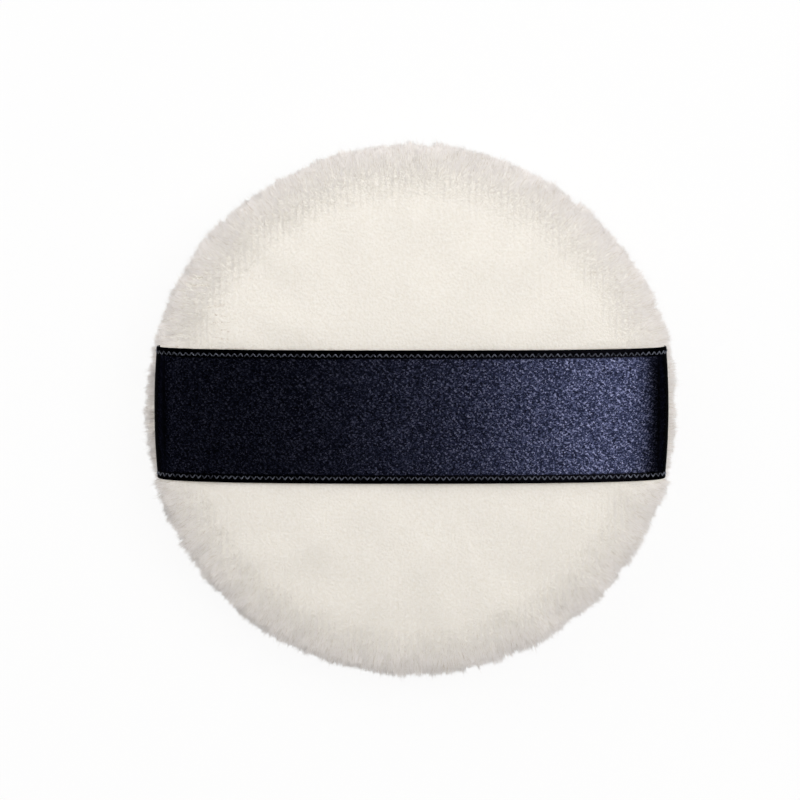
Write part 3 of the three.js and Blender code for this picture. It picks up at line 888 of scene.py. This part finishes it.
def pile_material():
    """Cream pile: from painted shade through warm crown to whiter rim across U, and along V from painted shade
    at the root to the tip.
    """
    material, nodes, links, shader = node_material("cream_pile")
    place = nodes.new("ShaderNodeUVMap")
    place.uv_map = "OFBake"
    axes = nodes.new("ShaderNodeSeparateXYZ")
    links.new(place.outputs["UV"], axes.inputs["Vector"])
    # The lowest stop is painted shade, used by the shaded rim strands and the creases
    tint = colour_ramp(nodes, [(0.02, (0.66, 0.58, 0.51)), (0.1, (0.93, 0.88, 0.79)),
                               (0.5, (0.95, 0.915, 0.86)), (1.0, (0.97, 0.925, 0.91))])
    # Painted shade: V darkens the colour towards the root, standing for the shade deep in the pile
    depth = colour_ramp(nodes, [(0.0, (0.94, 0.91, 0.86)), (0.6, (0.98, 0.975, 0.965)),
                                (1.0, (1.0, 1.0, 1.0))])
    links.new(axes.outputs["X"], tint.inputs["Fac"])
    links.new(axes.outputs["Y"], depth.inputs["Fac"])
    mix = nodes.new("ShaderNodeMix")
    mix.data_type = "RGBA"
    mix.blend_type = "MULTIPLY"
    mix.inputs["Factor"].default_value = 1
    links.new(tint.outputs["Color"], mix.inputs["A"])
    links.new(depth.outputs["Color"], mix.inputs["B"])
    links.new(mix.outputs["Result"], shader.inputs["Base Color"])
    shader.inputs["Roughness"].default_value = 0.75
    shader.inputs["Specular IOR Level"].default_value = 0.2
    shader.inputs["Sheen Weight"].default_value = 0.7
    shader.inputs["Sheen Roughness"].default_value = 0.5
    shader.inputs["Sheen Tint"].default_value = (1.0, 0.96, 0.91, 1)
    return material


def ground_material():
    """Knitted ground with the dense foot of the pile."""
    material, nodes, links, shader = node_material("plush_ground")
    place = nodes.new("ShaderNodeTexCoord")
    fine = nodes.new("ShaderNodeTexNoise")
    fine.inputs["Scale"].default_value = 2600
    fine.inputs["Detail"].default_value = 3
    links.new(place.outputs["Object"], fine.inputs["Vector"])
    tint = colour_ramp(nodes, [(0.3, (0.86, 0.812, 0.73)), (0.7, (0.93, 0.893, 0.832))])
    links.new(fine.outputs["Fac"], tint.inputs["Fac"])
    links.new(tint.outputs["Color"], shader.inputs["Base Color"])
    add_bump(nodes, links, shader, fine.outputs["Fac"], strength=0.6, distance=0.2 * MM)
    shader.inputs["Roughness"].default_value = 0.9
    shader.inputs["Sheen Weight"].default_value = 0.3
    return material


def satin_border_and_painted_end_shade(nodes, links, place):
    """Share of darker colour at a place on the ribbon: dull thread on its two borders, and painted shade on
    both ends where it turns down.
    """
    axes = nodes.new("ShaderNodeSeparateXYZ")
    links.new(place, axes.inputs["Vector"])
    across = math_node(nodes, links, "ABSOLUTE", axes.outputs["Y"])
    border = range_node(nodes, links, across, {"From Min": RIBBON_HALF_WIDTH - 1.5 * MM,
                                               "From Max": RIBBON_HALF_WIDTH - 1.2 * MM})
    along = math_node(nodes, links, "ABSOLUTE", axes.outputs["X"])
    # Painted shade: the colour darkens over both ends where the ribbon turns down, which also dims what they
    # reflect
    ends = range_node(nodes, links, along, {"From Min": RIBBON_REACH - 2.9 * MM,
                                            "From Max": RIBBON_REACH - 1.6 * MM, "To Max": 0.95})
    return math_node(nodes, links, "MAXIMUM", border, ends)


def satin_material():
    """Navy satin: floats that each throw back more or less light, on faint slanting ridges, with painted shade
    at both ends.
    """
    material, nodes, links, shader = node_material("navy_satin")
    place = nodes.new("ShaderNodeTexCoord").outputs["Object"]
    stretch = nodes.new("ShaderNodeMapping")
    stretch.inputs["Scale"].default_value = (1 / FLOAT_LENGTH, 1 / FLOAT_WIDTH, 1 / FLOAT_LENGTH)
    links.new(place, stretch.inputs["Vector"])
    floats = nodes.new("ShaderNodeTexVoronoi")
    floats.inputs["Scale"].default_value = 1
    links.new(stretch.outputs["Vector"], floats.inputs["Vector"])
    chance = nodes.new("ShaderNodeSeparateColor")
    links.new(floats.outputs["Color"], chance.inputs["Color"])
    twill = nodes.new("ShaderNodeTexWave")
    twill.bands_direction = "DIAGONAL"
    twill.inputs["Scale"].default_value = WAVE_PERIOD_AT_SCALE_ONE / TWILL_PITCH
    twill.inputs["Distortion"].default_value = 3
    links.new(place, twill.inputs["Vector"])
    ridge = range_node(nodes, links, twill.outputs["Fac"], {"To Min": 0.8})
    shine = math_node(nodes, links, "MULTIPLY", chance.outputs["Red"], ridge)
    colour = colour_ramp(nodes, [(0.0, (0.005, 0.006, 0.012)), (0.45, (0.026, 0.031, 0.066)),
                                 (0.72, (0.082, 0.092, 0.170)), (0.95, (0.265, 0.278, 0.425))])
    links.new(shine, colour.inputs["Fac"])
    # Mixes in near black: dull thread on the borders, and painted shade at the ends
    edged = nodes.new("ShaderNodeMix")
    edged.data_type = "RGBA"
    links.new(satin_border_and_painted_end_shade(nodes, links, place), edged.inputs["Factor"])
    links.new(colour.outputs["Color"], edged.inputs["A"])
    edged.inputs["B"].default_value = (0.002, 0.002, 0.003, 1)
    links.new(edged.outputs["Result"], shader.inputs["Base Color"])
    gloss = range_node(nodes, links, chance.outputs["Green"], {"To Min": 0.31, "To Max": 0.41})
    links.new(gloss, shader.inputs["Roughness"])
    add_bump(nodes, links, shader, floats.outputs["Distance"], strength=0.5, distance=0.02 * MM)
    weft = nodes.new("ShaderNodeCombineXYZ")
    weft.inputs["Y"].default_value = 1
    links.new(weft.outputs["Vector"], shader.inputs["Tangent"])
    shader.inputs["Metallic"].default_value = 0.95
    shader.inputs["Anisotropic"].default_value = 0.8
    shader.inputs["Specular IOR Level"].default_value = 0.1
    shader.inputs["Specular Tint"].default_value = (0.1, 0.1, 0.15, 1)
    return material


def thread_material(name, dark, light, grain, lustre):
    """Twisted thread, with its ply marked by fine slanting bands, brighter in some patches."""
    material, nodes, links, shader = node_material(name)
    place = nodes.new("ShaderNodeTexCoord").outputs["Object"]
    twist = nodes.new("ShaderNodeTexWave")
    twist.bands_direction = "DIAGONAL"
    twist.inputs["Scale"].default_value = 1 / grain
    twist.inputs["Distortion"].default_value = 1.5
    links.new(place, twist.inputs["Vector"])
    patches = nodes.new("ShaderNodeTexNoise")
    patches.inputs["Scale"].default_value = 1 / (0.7 * MM)
    links.new(place, patches.inputs["Vector"])
    brighter = range_node(nodes, links, patches.outputs["Fac"],
                          {"From Min": 0.3, "From Max": 0.7, "To Max": 1.6})
    shine = math_node(nodes, links, "MULTIPLY", twist.outputs["Fac"], brighter)
    colour = colour_ramp(nodes, [(0.1, dark), (0.8, light)])
    links.new(shine, colour.inputs["Fac"])
    links.new(colour.outputs["Color"], shader.inputs["Base Color"])
    add_bump(nodes, links, shader, twist.outputs["Fac"], strength=0.5, distance=0.03 * MM)
    shader.inputs["Roughness"].default_value = 0.4
    shader.inputs["Metallic"].default_value = lustre
    return material


def foam_material():
    """Open-cell sponge."""
    material, nodes, links, shader = node_material("sponge_foam")
    place = nodes.new("ShaderNodeTexCoord")
    cells = nodes.new("ShaderNodeTexVoronoi")
    cells.inputs["Scale"].default_value = 1500
    links.new(place.outputs["Object"], cells.inputs["Vector"])
    colour = colour_ramp(nodes, [(0.05, (0.62, 0.57, 0.45)), (0.35, (0.88, 0.85, 0.76))])
    links.new(cells.outputs["Distance"], colour.inputs["Fac"])
    links.new(colour.outputs["Color"], shader.inputs["Base Color"])
    add_bump(nodes, links, shader, cells.outputs["Distance"], strength=1, distance=0.3 * MM)
    shader.inputs["Roughness"].default_value = 0.85
    return material


# Stage


def stage_material():
    """Matt white that shows as near white to the camera, and in gloss and glass, and keeps shadows."""
    material, nodes, links, shader = node_material("stage_white")
    shader.inputs["Base Color"].default_value = (0.95, 0.95, 0.95, 1)
    shader.inputs["Roughness"].default_value = 1
    shader.inputs["Specular IOR Level"].default_value = 0
    white = nodes.new("ShaderNodeEmission")
    rays = nodes.new("ShaderNodeLightPath").outputs
    seen = math_node(nodes, links, "MAXIMUM", rays["Is Camera Ray"], rays["Is Glossy Ray"])
    seen = math_node(nodes, links, "MAXIMUM", seen, rays["Is Transmission Ray"])
    share = math_node(nodes, links, "MULTIPLY", seen, 0.9)
    mix = nodes.new("ShaderNodeMixShader")
    links.new(share, mix.inputs["Fac"])
    links.new(shader.outputs["BSDF"], mix.inputs[1])
    links.new(white.outputs["Emission"], mix.inputs[2])
    links.new(mix.outputs["Shader"], nodes["Material Output"].inputs["Surface"])
    return material


def studio_floor():
    """Pale floor that sweeps up into a low backdrop all round."""
    floor_radius, sweep, height = 1.0, 0.15, 0.16
    turn = np.linspace(0, math.pi / 2, 12)
    curve = np.stack([floor_radius + sweep * np.sin(turn), sweep * (1 - np.cos(turn))], 1)
    section = np.concatenate([[[0, 0], [floor_radius / 2, 0]], curve, [[floor_radius + sweep, height]]])
    rings = revolved(section)
    points = np.concatenate([rings[:1, 0], rings[1:].reshape(-1, 3)])
    j = np.arange(AROUND)
    first = np.stack([np.zeros(AROUND, int), 1 + j, 1 + (j + 1) % AROUND], 1)
    faces = [1 + grid_faces(len(rings) - 1, AROUND)[:, ::-1], first]
    floor = mesh_object("studio_floor", points, faces, stage_material())


def area_lamp(name, place, size, energy):
    """Round lamp that points at the middle of the puff."""
    data = bpy.data.lights.new(name, "AREA")
    data.shape = "DISK"
    data.size = size
    data.energy = energy
    lamp = bpy.data.objects.new(name, data)
    bpy.context.scene.collection.objects.link(lamp)
    lamp.location = place
    middle = (cad_low + cad_high) / 2
    lamp.rotation_euler = (middle - lamp.location).to_track_quat("-Z", "Y").to_euler()
    return lamp


def studio_light():
    """Key lamp at the right, fill lamp at the left, and a world that is brighter low down and towards +Y."""
    area_lamp("key", (0.31, 0.12, 0.57), size=0.56, energy=2.15)
    area_lamp("fill", (-0.34, 0.30, 0.42), size=0.60, energy=1.3).visible_glossy = False
    world = bpy.data.worlds.new("studio")
    bpy.context.scene.world = world
    world.use_nodes = True
    world.cycles_visibility.glossy = False
    nodes, links = world.node_tree.nodes, world.node_tree.links
    background = nodes["Background"]
    place = nodes.new("ShaderNodeTexCoord").outputs["Generated"]
    axes = nodes.new("ShaderNodeSeparateXYZ")
    links.new(place, axes.inputs["Vector"])
    horizon, midway, zenith = (1.34, 1.30, 1.25), (0.45, 0.44, 0.43), (0.2, 0.2, 0.2)
    ramp = colour_ramp(nodes, [(0.0, horizon), (0.5, midway), (1.0, zenith)])
    links.new(axes.outputs["Z"], ramp.inputs["Fac"])
    links.new(ramp.outputs["Color"], background.inputs["Color"])
    towards = nodes.new("ShaderNodeVectorMath")
    towards.operation = "DOT_PRODUCT"
    towards.inputs[1].default_value = (0.4, 0.92, 0)
    links.new(place, towards.inputs[0])
    share = range_node(nodes, links, towards.outputs["Value"],
                       {"From Min": -1, "To Min": 0.77, "To Max": 1.23})
    links.new(share, background.inputs["Strength"])


def photo_camera():
    """Camera nearly straight above, standing a little towards +Y, which is up in the picture."""
    data = bpy.data.cameras.new("photo_camera")
    data.sensor_width = CAMERA_SENSOR
    data.lens = CAMERA_SENSOR * CAMERA_DISTANCE / (PHOTO_WIDTH * PIXEL)
    camera = bpy.data.objects.new("photo_camera", data)
    bpy.context.scene.collection.objects.link(camera)
    back = np.array([0, math.sin(CAMERA_LEAN), math.cos(CAMERA_LEAN)])
    camera.location = PHOTO_MIDDLE + CAMERA_DISTANCE * back
    camera.rotation_euler = (-CAMERA_LEAN, 0, 0)
    bpy.context.scene.camera = camera


# The puff

bpy.context.scene.view_settings.view_transform = "Standard"
bpy.context.scene.cycles.diffuse_bounces = 8
photo_camera()
studio_light()
studio_floor()

plush = pile_material()
ground = ground_material()
satin = satin_material()
navy_thread = thread_material("navy_thread", (0.03, 0.034, 0.045), (0.28, 0.30, 0.37), 0.25 * MM, lustre=0.9)
cream_thread = thread_material("cream_thread", (0.62, 0.56, 0.46), (0.82, 0.77, 0.68), 0.3 * MM, lustre=0)
foam = foam_material()

back_rings, face_rings = settled(*ground_surfaces())
panels = (("back_plush", back_rings, 1, "back_panel"), ("face_plush", face_rings, -1, "face_panel"))
for name, rings, side, node in panels:
    shell = panel_shell(name, rings, side, ground)
    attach(shell, "pad")
    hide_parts(node)

back_pile(back_rings, plush)
face_pile(face_rings, plush)

for side, word in ((1, "right"), (-1, "left")):
    strap, strap_length = ribbon_half(f"ribbon_{word}", side, satin)
    threads = [zigzag_half(f"ribbon_{edge_word}_stitch_{word}", edge, side, navy_thread)
               for edge, edge_word in ((1, "upper"), (-1, "lower"))]
    for piece in (strap, *threads):
        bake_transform(piece)
    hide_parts("ribbon_strap")
    for piece, edge_word in zip(threads, ("upper", "lower")):
        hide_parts(f"ribbon_{edge_word}_edge_thread")

sponge = foam_disc(foam)
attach(sponge, "pad")
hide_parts("sponge_core")
for node in ("seam_needle_thread", "seam_bobbin_thread", "closing_thread"):
    frame["nodes"][node].data.materials.clear()
    frame["nodes"][node].data.materials.append(cream_thread)
